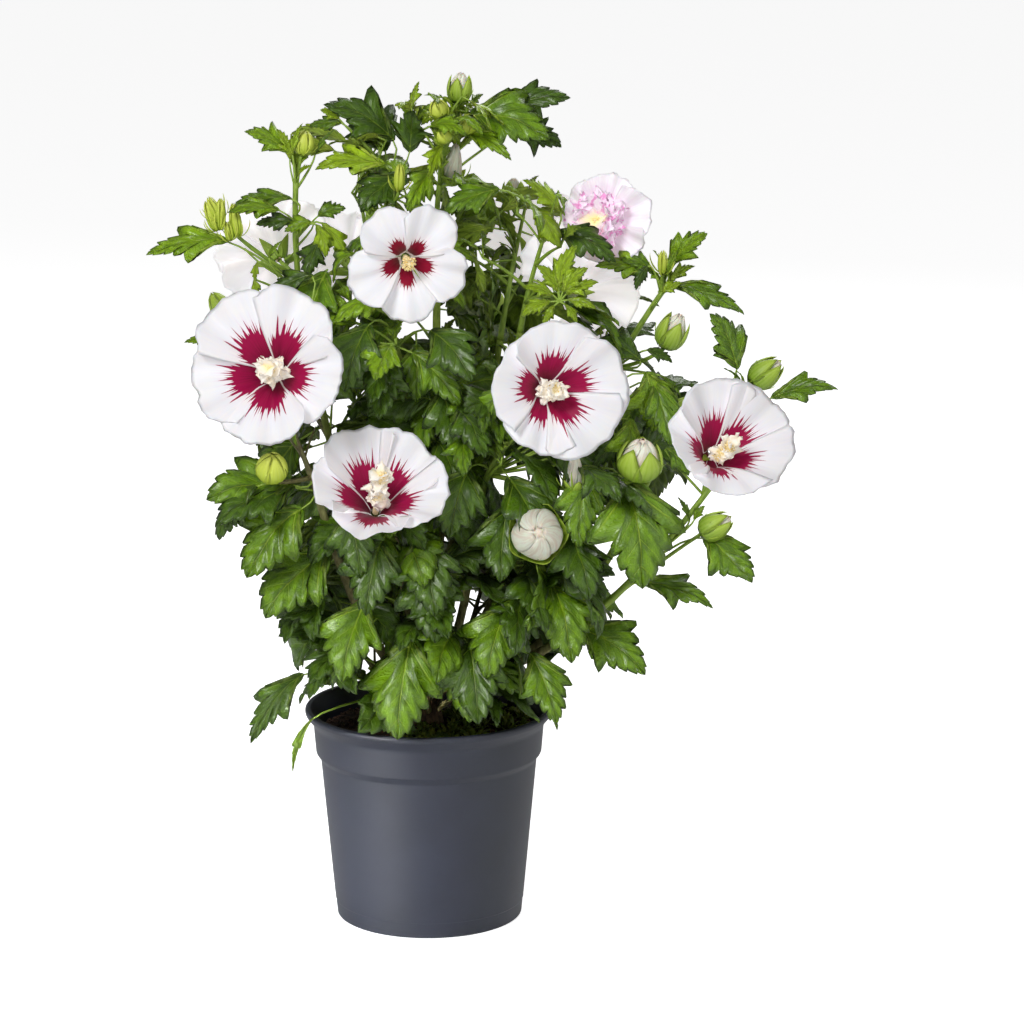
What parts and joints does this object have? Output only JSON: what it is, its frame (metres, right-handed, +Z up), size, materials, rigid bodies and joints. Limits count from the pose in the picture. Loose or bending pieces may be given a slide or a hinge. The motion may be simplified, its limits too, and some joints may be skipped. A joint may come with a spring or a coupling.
{
  "type": "potted hibiscus shrub",
  "caption": "Flowering hibiscus shrub with upright leafy boughs and open dish-shaped blooms, growing from soil in a round tapered plastic nursery pot.",
  "frame": {"origin": "middle of the pot's flat underside", "axes": "+Z up along the pot's axis, the side seen in the picture faces -Y, +X to the right of that view"},
  "size_m": [0.5063, 0.3435, 0.6534],
  "materials": {
    "pot_plastic": "satin dark blue-grey moulding",
    "soil": "moist potting compost",
    "bark": "fine grey-brown bark",
    "foliage": "glossy green leaves, white blooms with a crimson eye"
  },
  "bodies": {
    "root": {"pot": "pot_plastic", "soil": "soil", "main_stem": "bark", "bough_top": "bark", "bough_left": "bark", "bough_front_left": "bark", "bough_front_right": "bark", "bough_right": "bark", "bough_back_right": "bark", "bough_back": "bark", "bough_back_left": "bark", "bough_upper_left": "bark", "bough_far_right": "bark", "bough_upper_right": "bark", "bough_high_right": "bark", "bough_inner": "bark", "bough_centre": "bark", "bough_upper_back_left": "bark", "bough_upper_back_right": "bark", "bough_top_left": "bark", "foliage_low_left": "foliage", "foliage_low_front": "foliage", "foliage_low_right": "foliage", "foliage_low_back_left": "foliage", "foliage_low_back_right": "foliage", "foliage_inner": "foliage", "foliage_left": "foliage", "foliage_front_left": "foliage", "foliage_front_right": "foliage", "foliage_right": "foliage", "foliage_far_right": "foliage", "foliage_centre": "foliage", "foliage_back_left": "foliage", "foliage_back": "foliage", "foliage_back_right": "foliage", "foliage_upper_left": "foliage", "foliage_top_left": "foliage", "foliage_top": "foliage", "foliage_upper_right": "foliage", "foliage_high_right": "foliage", "foliage_upper_back_left": "foliage", "foliage_upper_back_right": "foliage"}
  },
  "joints": []
}
